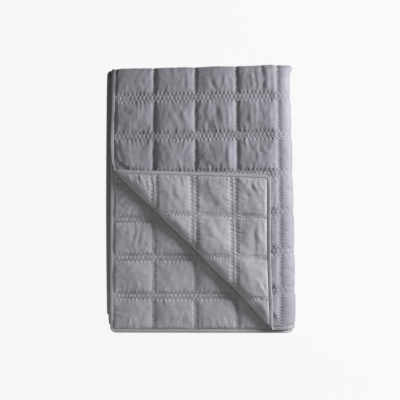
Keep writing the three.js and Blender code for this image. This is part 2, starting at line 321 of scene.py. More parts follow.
def open_share(u, v, face):
    """Where a face is open to the air: the padding swells there, and nowhere else."""
    turned = TURN_LEG - (u + v)
    if face == INNER:
        below = TURN_LEG - (u + CUT_LENGTH - v)
        return np.maximum(ramp(turned, -40, -10), ramp(below, -26, 10))
    in_length = ramp(v, TOP_OUT.v, TOP_OUT.v - 16)
    outside = ramp(u, TOP_OUT.u, TOP_OUT.u - 30) * in_length
    low_end = ramp(u, LOW_END.u[0], LOW_END.u[0] + 30)
    low_end = low_end * ramp(u, LOW_END.u[1], LOW_END.u[1] - 10)
    low_end = low_end * ramp(v, LOW_END.v, LOW_END.v + 18) * in_length
    covered = ramp(u, TURN_LEG - 4, TURN_LEG - 14) * ramp(v, TURN_LEG - 4, TURN_LEG - 14)
    covered = np.maximum(covered, ramp(turned, -48, -28))
    return np.maximum(outside * (1 - covered), low_end)


def seam_place(seams, number):
    return seams.first + number * seams.pitch


def from_seam(at, seams):
    """The nearest seam's number, and how far off it a place is."""
    step = np.clip(np.rint((at - seams.first) / seams.pitch), 0, seams.count - 1)
    return step.astype(int), at - seams.first - step * seams.pitch


def from_edge(u, v):
    """How far in from the binding a place on the panel is."""
    return np.minimum(np.minimum(u, CUT_WIDTH - u), np.minimum(v, CUT_LENGTH - v)) - RIM


# Padding: each seam is a narrow groove that holds its stitches, in a broad soft dip, and
# the squares between stand full. Depths and widths on the inner and the outer face. On
# the inner face a lengthwise seam is a bead between two grooves, steeper on its own side.
# It is partly filled where it crosses a band
LENGTHWISE_GROOVE = Sizes(depth=(0.9, 1.65), floor=(0.8, 2.2), wall=(3.0, 6.0))
CROSSWISE_GROOVE = Sizes(depth=(0.8, 1.0), floor=(2.4, 2.8), wall=(2.8, 5.0))
BEAD = (3.4, 0.0)
BEAD_STEEPER = 1.35
LENGTHWISE_DIP = Sizes(depth=(0.7, 1.3), width=11.0)
CROSSWISE_DIP = Sizes(depth=(0.3, 0.9), width=8.0)
CROSSING_FILLED = 0.5
CROSSING_DEEPER = 0.3
SQUARE_CROWN = Sizes(height=2.4, from_single=15.0, from_double=12.0, from_binding=12.0)
SQUARE_SWELL = 1.5


def groove(off, sizes, face):
    return sizes.depth[face] * (1 - smooth((off - sizes.floor[face]) / sizes.wall[face]))


def dip(off, sizes, face):
    return sizes.depth[face] * np.exp(-((off / sizes.width) ** 1.5))


def shoulder(off, width):
    return 1 - np.exp(-off / width)


def padding(u, v, face):
    """Height of the padding between its seams."""
    off_u = np.abs(from_seam(u, LENGTHWISE)[1])
    off_v = np.abs(from_seam(v, CROSSWISE)[1])
    past_rows = np.maximum(off_v - CROSSWISE.row, 0.0)
    from_bead = off_u - BEAD[face]
    from_bead = np.where(from_bead < 0, -BEAD_STEEPER * from_bead, from_bead)
    deep_u = groove(from_bead, LENGTHWISE_GROOVE, face) + dip(off_u, LENGTHWISE_DIP, face)
    deep_u = deep_u * (1 - CROSSING_FILLED * ramp(off_v, BAND_HALF + 3, BAND_HALF - 3))
    deep_v = groove(np.abs(off_v - CROSSWISE.row), CROSSWISE_GROOVE, face)
    deep_v = deep_v + dip(past_rows, CROSSWISE_DIP, face)
    deep = np.maximum(deep_u, deep_v) + CROSSING_DEEPER * np.minimum(deep_u, deep_v)
    crown = shoulder(off_u, SQUARE_CROWN.from_single)
    crown = crown * shoulder(past_rows, SQUARE_CROWN.from_double)
    crown = crown * shoulder(np.maximum(from_edge(u, v), 0.0), SQUARE_CROWN.from_binding)
    swell = 1 - (1 - 2 * off_u / LENGTHWISE.pitch) ** 2
    swell = swell * (1 - (1 - past_rows / (CROSSWISE.pitch / 2 - CROSSWISE.row)) ** 2)
    return SQUARE_CROWN.height * crown + SQUARE_SWELL * np.maximum(swell, 0.0) - deep


# Braids of stitches on each face: height along single and double seams, and how unevenly
# the stitches are drawn
BRAID_SINGLE = (0.9, 0.9)
BRAID_DOUBLE = (0.22, 0.5)
TENSION = Sizes(uneven=0.5, run=45.0, runs=80, seams=30)


def braid(off, along, seams):
    """Cloth drawn down at each needle hole of a zigzag row, and standing up between."""
    across = (np.abs(off) - seams.row if seams.row else off) / seams.swing
    holes = np.sin(math.pi / 2 * np.clip(across, -1.5, 1.5)) * np.exp(-((across / 1.7) ** 4))
    return -holes * np.cos(2 * math.pi * along / seams.period)


def tension(seam, along, seed):
    """How hard the stitches of a seam are drawn: uneven along it, and about 1."""
    random = np.random.RandomState(seed).rand(TENSION.seams, TENSION.runs)
    at = along / TENSION.run
    low = np.clip(np.floor(at).astype(int), 0, TENSION.runs - 2)
    part = smooth(at - low)
    drawn = random[seam, low] * (1 - part) + random[seam, low + 1] * part
    return 1 + TENSION.uneven * (2 * drawn - 1)


def braids(u, v, face):
    seam_u, off_u = from_seam(u, LENGTHWISE)
    seam_v, off_v = from_seam(v, CROSSWISE)
    single = BRAID_SINGLE[face] * braid(off_u, v, LENGTHWISE) * tension(seam_u, v, 51 + face)
    single = single * ramp(np.abs(off_v), BAND_HALF, BAND_HALF + 3)
    return single + BRAID_DOUBLE[face] * braid(off_v, u, CROSSWISE) * tension(seam_v, u, 53 + face)


class Gathers:
    """The small folds that each stitch draws out of the cloth beside a seam."""

    LONGEST = 330

    def __init__(
        self, seed, seams, period, clear, height, reach, width, sides=(1.0, 1.0), shares=1.0
    ):
        random = np.random.RandomState(seed)
        shape = (seams, 2, self.LONGEST)
        self.period = period
        self.clear = clear
        self.width = width
        self.height = between(height, random.rand(*shape) ** 1.6)
        self.height = self.height * np.array(sides)[:, None] * np.reshape(shares, (-1, 1, 1))
        self.reach = between(reach, random.rand(*shape) ** 2.2)
        self.drift = (random.rand(*shape) - 0.5) * 0.3 * period
        self.slant = (random.rand(*shape) - 0.5) * 0.7

    def at(self, seam, off, along):
        side = (off > 0).astype(int)
        out = np.maximum(np.abs(off) - self.clear, 0.0)
        total = np.zeros_like(along)
        first = np.floor(along / self.period).astype(int)
        for step in (-1, 0, 1):
            k = np.clip(first + step, 0, self.LONGEST - 1)
            pick = (seam, side, k)
            centre = (k + 0.5) * self.period + self.drift[pick] + self.slant[pick] * out
            lump = hump(along - centre, self.width) * hump(out, self.reach[pick])
            total += self.height[pick] * lump
        return total * smooth(np.abs(off) / self.clear)


# Gathers of each face, inner then outer: seed, seams, period, clear of the stitches, then
# height, reach and width of each. On the inner face they are stronger at the first edge
CROSSWISE_GATHERS = (
    Gathers(10, 26, 9.6, 9.6, (0.3, 1.1), (4, 16), 2.4),
    Gathers(11, 26, 9.6, 9.6, (0.3, 1.4), (6, 28), 2.7),
)
LENGTHWISE_GATHERS = (
    Gathers(14, 17, 7.2, 2.8, (0.2, 0.9), (4, 11), 1.9, sides=(1.0, 0.5)),
    Gathers(12, 17, 7.2, 2.8, (0.2, 0.7), (3, 10), 2.0),
)
BINDING_GATHERS = (
    Gathers(15, 4, 9.0, 2.0, (0.6, 1.8), (7, 24), 2.6, shares=(1.0, 0.65, 0.65, 0.65)),
    Gathers(13, 4, 10.4, 4.0, (0.2, 1.2), (6, 24), 2.9),
)
GATHERED_RIM = 70.0


def gathers(u, v, face):
    seam_v, off_v = from_seam(v, CROSSWISE)
    seam_u, off_u = from_seam(u, LENGTHWISE)
    total = CROSSWISE_GATHERS[face].at(seam_v, off_v, u)
    total += LENGTHWISE_GATHERS[face].at(seam_u, off_u, v)
    edges = ((u, v), (v, u), (CUT_WIDTH - u, v), (CUT_LENGTH - v, u))
    for edge, (off, along) in enumerate(edges):
        near = off < GATHERED_RIM
        out = np.where(near, off - RIM, GATHERED_RIM)
        seam = np.full(u.shape, edge)
        total += np.where(near, BINDING_GATHERS[face].at(seam, out, along), 0.0)
    return total


# Unevenness of the wadding and the cloth over it: waves, their lengths and their height
UNEVEN = (
    (16, (55.0, 150.0), 0.2),
    (40, (14.0, 42.0), 0.05),
)


def unevenness(u, v, face):
    random = np.random.RandomState(21 + face)
    total = np.zeros_like(u)
    for waves, lengths, height in UNEVEN:
        for _ in range(waves):
            heading = random.rand() * 2 * math.pi
            length = between(lengths, random.rand())
            phase = random.rand() * 2 * math.pi
            along = u * math.cos(heading) + v * math.sin(heading)
            total += height * np.sin(2 * math.pi * along / length + phase)
    return total


# Main creases and soft ridges, placed on the packet as it lies, from its middle: from x
# and y, to x and y, half width, height
TOP_CREASES = (
    (-171, 280, -171, 260, 3, 0.5), (-131, 276, -132, 258, 3, 0.5),
    (-122, 317, -125, 295, 4, 0.4), (-150, 312, -148, 268, 5, 0.3),
    (-40, 308, -41, 260, 3.5, -0.9), (-34, 308, -34, 260, 6, 1.1),
    (-57, 276, -54, 260, 3, 0.5), (-73, 276, -70, 260, 3, 0.5),
    (-176, 230, -156, 198, 6, 0.7), (-156, 200, -152, 168, 4.5, -0.5),
    (-82, 228, -54, 176, 6, 1.1), (-58, 232, -42, 188, 4.5, 0.7),
    (-44, 224, -28, 170, 5, 0.9), (-203, 140, -184, 80, 6, -1.4),
    (-190, 142, -166, 82, 9, 0.9), (-199, 98, -194, 76, 2.6, 0.8),
    (-190, 96, -185, 76, 2.6, 0.7), (-151, 126, -143, 90, 5, -0.5),
    (-86, 134, -67, 80, 8, 1.0), (-33, 140, -35, 76, 6, 0.3),
    (18, 304, 37, 258, 4.5, -1.2), (28, 306, 46, 260, 5, 0.8),
    (60, 320, 61, 258, 3.5, 0.9), (68, 320, 68, 286, 3, 0.6),
    (101, 304, 103, 258, 3, 0.6), (119, 320, 122, 258, 3.5, 0.5),
    (124, 320, 130, 256, 4, -0.9), (134, 320, 138, 258, 3.5, 0.8),
    (142, 322, 150, 288, 4, -1.2), (150, 294, 143, 256, 4, -1.2),
    (156, 314, 157, 258, 4.5, 0.9), (173, 320, 174, 258, 4, 0.8),
    (15, 234, 17, 186, 6, 1.3), (31, 234, 35, 188, 5, -1.5),
    (13, 198, 17, 162, 4, -1.3), (46, 230, 49, 164, 4.5, 1.2),
    (60, 236, 62, 162, 4, 1.5), (107, 226, 112, 168, 6, -0.6),
    (118, 234, 119, 164, 3, 0.7), (129, 234, 129, 164, 3, 0.6),
    (133, 200, 135, 162, 3, -0.9), (134, 236, 137, 216, 3, -0.8),
    (150, 234, 151, 164, 3.5, 0.4), (163, 232, 164, 166, 4, 0.5),
    (15, 140, 19, 112, 3.5, -0.9), (48, 142, 51, 114, 4, 1.2),
    (61, 142, 62, 68, 5, 1.9), (2, 98, 36, 84, 6, 0.6),
    (24, 90, 25, 68, 3.5, -1.0), (43, 92, 42, 68, 3.5, -1.0),
    (108, 142, 119, 114, 3.5, -0.7), (130, 144, 135, 70, 3.5, 1.0),
    (136, 142, 140, 106, 3.5, -0.9), (150, 140, 160, 114, 3.5, -0.6),
    (143, 120, 178, 99, 3.2, 0.6), (106, 92, 108, 68, 3, -0.6),
    (118, 92, 119, 68, 3, -0.7), (190, 122, 208, 98, 3.5, 0.6),
    (192, 106, 216, 97, 3, 0.6), (191, 25, 218, 14, 3, -1.2),
    (192, 32, 218, 23, 4.5, 0.7), (192, -13, 211, -28, 3.5, 0.5),
    (194, -68, 216, -88, 4, 0.6), (173, -280, 184, -297, 3, -1.2),
    (174, -272, 188, -292, 3.5, 0.8), (-94, 236, -94, 70, 30, 1.7),
    (-100, 146, -98, 66, 24, 1.4), (-66, 146, -64, 72, 26, 0.9),
    (57, 236, 58, 164, 20, 0.9), (54, 144, 55, 70, 22, 1.0),
    (148, 318, 150, 72, 32, -0.9),
)
CORNER_CREASES = (
    (-163, 67, -150, 36, 3, 0.8), (-156, 66, -143, 34, 3, -0.7),
    (-150, 67, -136, 28, 3.5, 0.9), (-142, 65, -130, 24, 3, -0.7),
    (-134, 67, -124, 14, 3.5, 1.0), (-83, 60, -72, 42, 3.5, 0.8),
    (-73, 61, -64, 44, 3, -0.6), (-96, 42, -66, -4, 6, 0.6),
    (-76, 38, -60, -8, 5, -0.9), (-67, 42, -48, 2, 5, 0.9),
    (-44, 22, -70, -14, 4, 0.6), (4, 54, 62, -16, 13, 1.9),
    (-2, 24, 30, -14, 11, -0.6), (93, 52, 114, 8, 5, -0.8),
    (101, 57, 125, 16, 5, 0.9), (110, 57, 132, 20, 3.5, -0.8),
    (118, 59, 141, 22, 4.5, 0.8), (136, 61, 153, 28, 3.5, 0.8),
    (128, 10, 150, -30, 7, 0.6), (-66, -48, -40, -82, 5, 0.6),
    (6, -54, 42, -98, 7, 0.9), (24, -52, 58, -88, 6, -0.7),
    (40, -94, 62, -124, 7, 0.6), (108, -46, 112, -124, 8, 1.3),
    (125, -58, 127, -130, 5, -1.0), (133, -92, 132, -130, 4, 0.9),
    (140, -46, 136, -100, 6, 0.7), (146, -44, 142, -78, 3, -0.8),
    (108, -142, 112, -222, 8, 0.8), (126, -146, 132, -190, 7, -0.5),
    (132, -194, 150, -234, 3.5, 1.0), (140, -194, 155, -228, 3, -0.9),
    (148, -194, 158, -218, 2.6, 0.7), (140, -244, 151, -280, 4, 0.8),
    (-10, 70, -6, -130, 34, -1.8), (66, 62, 70, -40, 24, 1.2),
)
BELOW_CREASES = (
    (-206, -8, -178, 20, 4, 0.9), (-200, -15, -170, 10, 4, -0.7),
    (-206, 14, -188, 32, 3.5, 0.7), (-184, -36, -168, -16, 3, 0.7),
    (-166, -36, -152, -18, 3, 0.6), (-166, -60, -181, -114, 4, 0.5),
    (-156, -62, -171, -118, 3.2, -0.6), (-148, -60, -161, -120, 3.5, 0.5),
    (-140, -62, -153, -120, 3.2, -0.6), (-132, -64, -146, -122, 3.5, 0.5),
    (-200, -66, -186, -92, 5, 0.6), (-186, -192, -184, -220, 3.2, 0.7),
    (-170, -190, -168, -220, 3.2, 0.6), (-150, -192, -152, -220, 3.2, 0.6),
    (-100, -152, -58, -196, 9, 0.9), (-182, -248, -152, -294, 6, 0.6),
    (-172, -250, -145, -292, 5, -0.4), (-173, -278, -166, -308, 3, 0.8),
    (-160, -282, -156, -308, 3, 0.8), (-86, -250, -52, -300, 8, 0.6),
    (18, -274, 31, -308, 3.5, 0.6), (34, -280, 46, -308, 3.5, 0.6),
    (48, -276, 63, -308, 3.5, 0.6),
)

# How high they stand on each face, how much wider they are than drawn, and how far they
# may bow, as a share of their length up to a limit
CREASE_HEIGHT = (1.0, 1.1)
CREASE_WIDER = 1.15
CREASE_BOW = 0.07
CREASE_BOW_LENGTH = 60.0

# Small wrinkles between them: how many on a face, ranges of length, half width and height,
# their fan in radians, the share that stands up, and their reach on the top layer
SMALL_WRINKLES = 900
WRINKLE_LENGTH = (12.0, 40.0)
WRINKLE_WIDTH = (1.8, 4.2)
WRINKLE_HEIGHT = (0.15, 0.6)
WRINKLE_FAN = 2.0
WRINKLES_UP = 0.6
WRINKLED_TOP = (450.0, 650.0)


def on_top(x, y):
    return x + PACKET_MIDDLE[0], y + PACKET_MIDDLE[1]


def on_corner(x, y):
    return TURN_LEG - y - PACKET_MIDDLE[1], TURN_LEG - x - PACKET_MIDDLE[0]


def on_layer_below(x, y):
    return x + PACKET_MIDDLE[0], CUT_LENGTH - BELOW_PAST - y - PACKET_MIDDLE[1]


def placed(rows, on_layer):
    return [(*on_layer(*row[:2]), *on_layer(*row[2:4]), *row[4:]) for row in rows]


def small_wrinkles(face):
    """Short wrinkles strewn over a face, most of them across the double seams."""
    random = np.random.RandomState(41 + face)
    reach_u, reach_v = WRINKLED_TOP if face == OUTER else (TURN_LEG, TURN_LEG)
    rows = []
    for _ in range(SMALL_WRINKLES):
        share = random.rand(7)
        u, v = reach_u * share[0], reach_v * share[1]
        if face == INNER and share[6] >= 0.5:
            v = CUT_LENGTH - v
        heading = math.pi / 2 + (share[2] - 0.5) * WRINKLE_FAN
        length = between(WRINKLE_LENGTH, share[3])
        width = between(WRINKLE_WIDTH, share[4])
        height = between(WRINKLE_HEIGHT, share[5] ** 2)
        if share[6] * 10 % 1 >= WRINKLES_UP:
            height = -height
        to_u, to_v = u + length * math.cos(heading), v + length * math.sin(heading)
        rows.append((u, v, to_u, to_v, width, height))
    return rows


CREASES = (
    placed(CORNER_CREASES, on_corner) + placed(BELOW_CREASES, on_layer_below) + small_wrinkles(INNER),
    placed(TOP_CREASES, on_top) + small_wrinkles(OUTER),
)


def creases(u, v, face):
    """Height of all creases and wrinkles of a face."""
    random = np.random.RandomState(61 + face)
    total = np.zeros_like(u)
    for u1, v1, u2, v2, half_width, height in CREASES[face]:
        du, dv = u2 - u1, v2 - v1
        length = math.hypot(du, dv)
        reach = length / 2 + 3 * half_width
        near = (np.abs(u - (u1 + u2) / 2) < reach) & (np.abs(v - (v1 + v2) / 2) < reach)
        near_u, near_v = u[near] - u1, v[near] - v1
        share = (near_u * du + near_v * dv) / length**2
        arch = 1 - (2 * share - 1) ** 2
        bow = CREASE_BOW * min(length, CREASE_BOW_LENGTH) * (2 * random.rand() - 1)
        off = (near_u * dv - near_v * du) / length - bow * arch
        ends = np.clip(arch, 0.0, 1.0) ** 1.2
        total[near] += CREASE_HEIGHT[face] * height * hump(off, CREASE_WIDER * half_width) * ends
    return total


# The ridge along the last seam before the rolled side: which seam, how far aside of it,
# its height at the far and near ends, its half width to each side, and where it rises
SIDE_RIDGE = Sizes(seam=3, aside=9.0, height=(2.1, 3.0), width=(26.0, 6.6), rise=(500, 150))


def side_ridge(u, v):
    crest = seam_place(LENGTHWISE, SIDE_RIDGE.seam) - SIDE_RIDGE.aside
    width = np.where(u < crest, *SIDE_RIDGE.width)
    return between(SIDE_RIDGE.height, ramp(v, *SIDE_RIDGE.rise)) * hump(u - crest, width)


# Padding is flatter round the rolled side and end, from and to the places given
ROLLED = Sizes(flatter=0.6, side=(375, 405), end=(612, 627))

# The panel's edge is drawn in under the binding on each face, less so along the turned
# corner's far edge, and the row of stitches that holds the binding lies in a fine ditch
DEEPEST = -3.0
EDGE_DRAWN_IN = (0.4, 1.2)
EDGE_WIDTH = (4.2, 8.0)
EDGE_EASED = (0.9, 0.0)
EDGE_STITCH = Sizes(inset=1.8, period=5.2, length=3.0)
EDGE_DITCH = Sizes(depth=0.4, width=1.6)

# The cloth is pulled flat over the fold of the turned corner
FLAT_FOLD = Sizes(past=6.0, width=17.0, share=0.7)


def relief(u, v, face):
    """How far a face of the panel stands out from the plain layer, in millimetres."""
    seam_u, seam_v = along_seams(u, v)
    height = padding(seam_u, seam_v, face) + braids(seam_u, seam_v, face)
    height += gathers(seam_u, seam_v, face) + unevenness(u, v, face)
    if face == OUTER:
        rolled = np.maximum(ramp(u, *ROLLED.side), ramp(v, *ROLLED.end))
        height = height * (1 - ROLLED.flatter * rolled) + side_ridge(u, v)
    height += creases(u, v, face)
    inset = from_edge(u, v)
    edge = 1 - smooth(inset / EDGE_WIDTH[face])
    eased = EDGE_EASED[face] * ramp(u, 60, 40) * ramp(v, TURN_LEG + 40, TURN_LEG + 20)
    height = height * (1 - edge) - EDGE_DRAWN_IN[face] * edge * (1 - eased)
    height -= EDGE_DITCH.depth * hump(inset - EDGE_STITCH.inset, EDGE_DITCH.width)
    height = np.maximum(height, DEEPEST)
    if face == INNER:
        pulled_flat = hump(TURN_LEG - u - v - FLAT_FOLD.past, FLAT_FOLD.width)
        height = height * (1 - FLAT_FOLD.share * pulled_flat)
    return height * open_share(u, v, face)


def cloth_place(u, v, face, lift=0.0):
    """A place on the panel's face, lifted off it."""
    out = relief(u, v, face) + lift
    return fold_up(u, v, LAYER + out if face == OUTER else -out)


# The panel's net: zones of u and of v that follow the folds, each with its end, its cells
# and the fine parts of a cell
NET_ACROSS = (
    (SIDE_FOLD, 18, 10),
    (490.93, 12, 3),
    (HALF_WIDTH, 18, 4),
    (911.25, 7, 1),
    (1308.3, 7, 1),
    (1402.25, 12, 1),
    (CUT_WIDTH - RIM, 7, 1),
)
NET_ALONG = (
    (END_FOLD, 28, 10),
    (656.81, 8, 2),
    (HALF_LENGTH, 10, 1),
    (1250.97, 6, 1),
    (1833.66, 10, 1),
    (1880.47, 8, 1),
    (2100.0, 4, 1),
    (CUT_LENGTH - RIM, 18, 10),
)


def net_lines(zones):
    """All lines of the net one way, and the places among them where cells start."""
    lines, starts, begin = [RIM], [0], RIM
    for end, cells, parts in zones:
        steps = cells * parts
        for step in range(1, steps + 1):
            lines.append(begin + (end - begin) * step / steps)
            if step % parts == 0:
                starts.append(len(lines) - 1)
        begin = end
    return np.array(lines), starts


LINES_U, STARTS_U = net_lines(NET_ACROSS)
LINES_V, STARTS_V = net_lines(NET_ALONG)

# Single steps go this far round the turned corner's fold on the inner face. On the outer
# face they start this far before the fold's ends and stop at the end of the roll, and the
# bend itself, within a range about the fold, has steps of a fifth of a cell
FINE_PAST_FOLD = 45
FINE_BEFORE_ENDS = 22
FINE_ROLL = Sizes(u=500, v=660)
FIFTHS = (-78, 60)


def cell_steps(face, i, j):
    """Steps of the net in a cell: single where the face shows, longer elsewhere."""
    whole = (STARTS_U[i + 1] - STARTS_U[i], STARTS_V[j + 1] - STARTS_V[j])
    half, fifth = (tuple(max(1, steps // share) for steps in whole) for share in (2, 5))
    u = (LINES_U[STARTS_U[i]] + LINES_U[STARTS_U[i + 1]]) / 2
    v = (LINES_V[STARTS_V[j]] + LINES_V[STARTS_V[j + 1]]) / 2
    turned = TURN_LEG - (u + v)
    if face == INNER:
        below = TURN_LEG - (u + CUT_LENGTH - v)
        return (1, 1) if max(turned, below) > -FINE_PAST_FOLD else whole
    if u < FINE_ROLL.u and v < FINE_ROLL.v:
        if max(u, v) > TURN_LEG - FINE_BEFORE_ENDS:
            return (1, 1)
        return fifth if FIFTHS[0] < turned < FIFTHS[1] else whole
    if u < HALF_WIDTH and v < END_FOLD:
        return half
    return (1, 1) if u < HALF_WIDTH and v < FINE_ROLL.v else whole


def panel_cells():
    """The net's points that are used on each face, and its cells with their steps."""
    used = np.zeros((2, len(LINES_U), len(LINES_V)), bool)
    cells = []
    for face in (INNER, OUTER):
        for i in range(len(STARTS_U) - 1):
            for j in range(len(STARTS_V) - 1):
                step_u, step_v = cell_steps(face, i, j)
                at_u = range(STARTS_U[i], STARTS_U[i + 1] + 1, step_u)
                at_v = range(STARTS_V[j], STARTS_V[j + 1] + 1, step_v)
                used[face][np.ix_(at_u, at_v)] = True
                cells.append((face, at_u, at_v))
    for edge in (np.s_[:, 0, :], np.s_[:, -1, :], np.s_[:, :, 0], np.s_[:, :, -1]):
        used[edge] = used[edge].any(axis=0)
    return used, cells


def walk_round(used, a, b, c, d):
    """Used points round a cell from line a to b across and c to d along."""
    loop = [(i, c) for i in range(a, b) if used[i, c]]
    loop += [(b, j) for j in range(c, d) if used[b, j]]
    loop += [(i, d) for i in range(b, a, -1) if used[i, d]]
    loop += [(a, j) for j in range(d, c, -1) if used[a, j]]
    return loop


def make_panel():
    """The panel's two faces, each a net of cells, joined round the rim."""
    used, cells = panel_cells()
    number = np.full(used.shape, -1)
    parts, polygons = [], []
    count = 0
    for face in (INNER, OUTER):
        at_u, at_v = np.nonzero(used[face])
        number[face][at_u, at_v] = count + np.arange(len(at_u))
        count += len(at_u)
        u, v = round_corners(LINES_U[at_u], LINES_V[at_v])
        parts.append((cloth_place(u, v, face), *along_seams(u, v), face))
    for face, at_u, at_v in cells:
        for i in at_u[:-1]:
            for j in at_v[:-1]:
                loop = walk_round(used[face], i, i + at_u.step, j, j + at_v.step)
                corners = [int(number[face][k]) for k in loop]
                polygons.append(corners if face == OUTER else corners[::-1])
    rim = walk_round(used[0], 0, len(LINES_U) - 1, 0, len(LINES_V) - 1)
    for a, b in zip(rim, rim[1:] + rim[:1]):
        corners = (number[INNER][a], number[INNER][b], number[OUTER][b], number[OUTER][a])
        polygons.append([int(corner) for corner in corners])
    return cloth_mesh("quilted_panel_cloth", parts, polygons)


def add_object(name, data):
    made = bpy.data.objects.new(name, data)
    bpy.context.scene.collection.objects.link(made)
    return made


def cloth_mesh(name, parts, polygons):
    """A mesh of parts, each with its places, u and v for the map, and the face it is on."""
    places = np.concatenate([part[0] for part in parts])
    flats = np.concatenate([np.stack(part[1:3], axis=-1) for part in parts]) * METRES
    sides = np.concatenate([np.full(len(part[0]), part[3]) for part in parts])
    corners = np.array([i for polygon in polygons for i in polygon])
    mesh = bpy.data.meshes.new(name)
    mesh.from_pydata(places.tolist(), [], polygons, shade_flat=False)
    flat_map = mesh.uv_layers.new(name="flat_cloth")
    flat_map.data.foreach_set("uv", flats[corners].astype(np.float32).ravel())
    side = mesh.attributes.new("outer_face", "FLOAT", "POINT")
    side.data.foreach_set("value", sides.astype(np.float32))
    return add_object(name, mesh)


# The binding: rows from the cut edge inwards, as inset and thickness, how much fuller it
# is where it shows, how much thinner it may be along its length and in what runs, and the
# length and steps of its corners
BINDING_ROWS = (
    (0.0, 1.6),
    (0.25, 3.0),
    (0.8, 4.0),
    (2.0, 4.4),
    (4.2, 4.5),
    (6.2, 4.4),
    (7.6, 4.0),
    (8.5, 2.9),
)
BINDING_SWELL = 0.3
BINDING_THINNER = 0.4
BINDING_RUN = 4
BINDING_CORNER = 22.0
BINDING_CORNER_STEPS = 10


def binding_edge(lines, starts, reach, corner, *fine):
    """Places along one edge of the cut: its corners, and fine parts only where they show."""
    keep = set(starts)
    for low, high in fine:
        keep |= {k for k, at in enumerate(lines) if low <= at <= high}
    stops = lines[sorted(keep)]
    stops = stops[(stops > BINDING_CORNER + 1) & (stops < reach - BINDING_CORNER - 1)]
    return np.concatenate([corner, stops, (reach - corner[::-1])[:-1]])


def binding_loop(inset):
    """The four edges of the cut, drawn in, as u and v, from the first corner round."""
    corner = between((inset, BINDING_CORNER), np.linspace(0, 1, BINDING_CORNER_STEPS + 1))
    across = (LINES_U, STARTS_U, CUT_WIDTH, corner)
    along = (LINES_V, STARTS_V, CUT_LENGTH, corner)
    far_u, far_v = CUT_WIDTH - inset, CUT_LENGTH - inset
    near = binding_edge(*across, (0, 900))
    hidden = binding_edge(*along)
    far = np.append(far_u, binding_edge(*across, (0, 500))[:0:-1])
    free = np.append(far_v, binding_edge(*along, (0, 665), (2080, 2500))[:0:-1])
    u = np.concatenate([near, np.full(len(hidden), far_u), far, np.full(len(free), inset)])
    v = np.concatenate([np.full(len(near), inset), hidden, np.full(len(far), far_v), free])
    return round_corners(u, v)


def make_binding():
    """The strip round the cut edge: rows on both faces, joined into a closed tube."""
    loops = [binding_loop(inset) for inset, _ in BINDING_ROWS]
    count = len(loops[0][0])
    knots = np.arange(0, count + BINDING_RUN, BINDING_RUN)
    uneven = np.interp(np.arange(count), knots, np.random.RandomState(31).rand(len(knots)))
    parts, polygons = [], []
    for face in (INNER, OUTER):
        for (inset, thick), (u, v) in zip(BINDING_ROWS, loops):
            crown = math.sin(math.pi * inset / BINDING_WIDTH) ** 0.5
            half = (thick - BINDING_THINNER * crown * uneven) / 2
            half = half + BINDING_SWELL * crown * open_share(u, v, face)
            place = fold_up(u, v, LAYER / 2 + (half if face == OUTER else -half))
            parts.append((place, u, v, face))
    rows = len(BINDING_ROWS)
    rings = [*range(rows, 2 * rows), *reversed(range(rows))]
    for a, b in zip(rings, rings[1:] + rings[:1]):
        for k in range(count):
            after = (k + 1) % count
            polygons.append([a * count + k, a * count + after, b * count + after, b * count + k])
    return cloth_mesh("edge_binding_strip", parts, polygons)


# Quilting thread: its width, how far it stands off the cloth, how much more on single rows
# of each face, how high a stitch arches and how far its ends sink, and the steps along it
# and round it
THREAD_WIDTH = 1.2
THREAD_LIFT = -0.1
SINGLE_LIFT = (0.6, 0.0)
STITCH_RISE = 0.9
STITCH_SINK = 1.08
STITCH_STEPS = 4
THREAD_STEPS = 5

# Rows start this far from the binding or the fold of the turned corner, go this far over
# that fold or in under it, and end on the roll at these places in u and v. A seam this
# close to the fold's end starts at the binding
ROW_CLEAR = 2.0
ROW_OVER_FOLD = 12.0
ROW_UNDER_FOLD = 16.0
ROW_ENDS = (468.0, 655.0)
FOLD_END = 8.0
FIRST_HOLE = RIM + ROW_CLEAR
LAST_HOLE = CUT_LENGTH - FIRST_HOLE


def past_corner(at):
    """Where a row of the top layer starts: at the turned corner's fold or at the binding."""
    return TURN_LEG + ROW_CLEAR if at < TURN_LEG - FOLD_END else FIRST_HOLE


def over_fold(at):
    return TURN_LEG - at + ROW_OVER_FOLD


def under_fold(at):
    return TURN_LEG - at + ROW_UNDER_FOLD


# Rows that show: the seams, their numbers, the face, and the row's start and stop for a
# seam at a given place
THREAD_ROWS = (
    (CROSSWISE, range(6), OUTER, past_corner, lambda at: ROW_ENDS[0]),
    (CROSSWISE, range(4), INNER, lambda at: FIRST_HOLE, over_fold),
    (CROSSWISE, range(22, 26), INNER, lambda at: FIRST_HOLE, lambda at: under_fold(CUT_LENGTH - at)),
    (LENGTHWISE, range(4), OUTER, past_corner, lambda at: ROW_ENDS[1]),
    (LENGTHWISE, range(4, 8), OUTER, lambda at: END_FOLD + ROW_CLEAR, lambda at: ROW_ENDS[1]),
    (LENGTHWISE, range(3), INNER, lambda at: FIRST_HOLE, over_fold),
    (LENGTHWISE, range(3), INNER, lambda at: CUT_LENGTH - under_fold(at), lambda at: LAST_HOLE),
)


def zigzag(seams, number, row_side, start, stop):
    """Needle holes of one zigzag row, as u and v."""
    step = seams.period / 2
    count = max(int((stop - start) / step), 0)
    k = math.ceil(start / step) + np.arange(count)
    side = np.where(k % 2 == 0, 1.0, -1.0)
    middle = seam_place(seams, number) + row_side * seams.row
    across = middle + side * seams.swing * (row_side or 1)
    return (k * step, across) if seams is CROSSWISE else (across, k * step)


def running(start, stop):
    """Both ends of every stitch of a plain row."""
    begin = np.arange(start, stop, EDGE_STITCH.period)
    return np.stack([begin, begin + EDGE_STITCH.length], axis=-1).ravel()


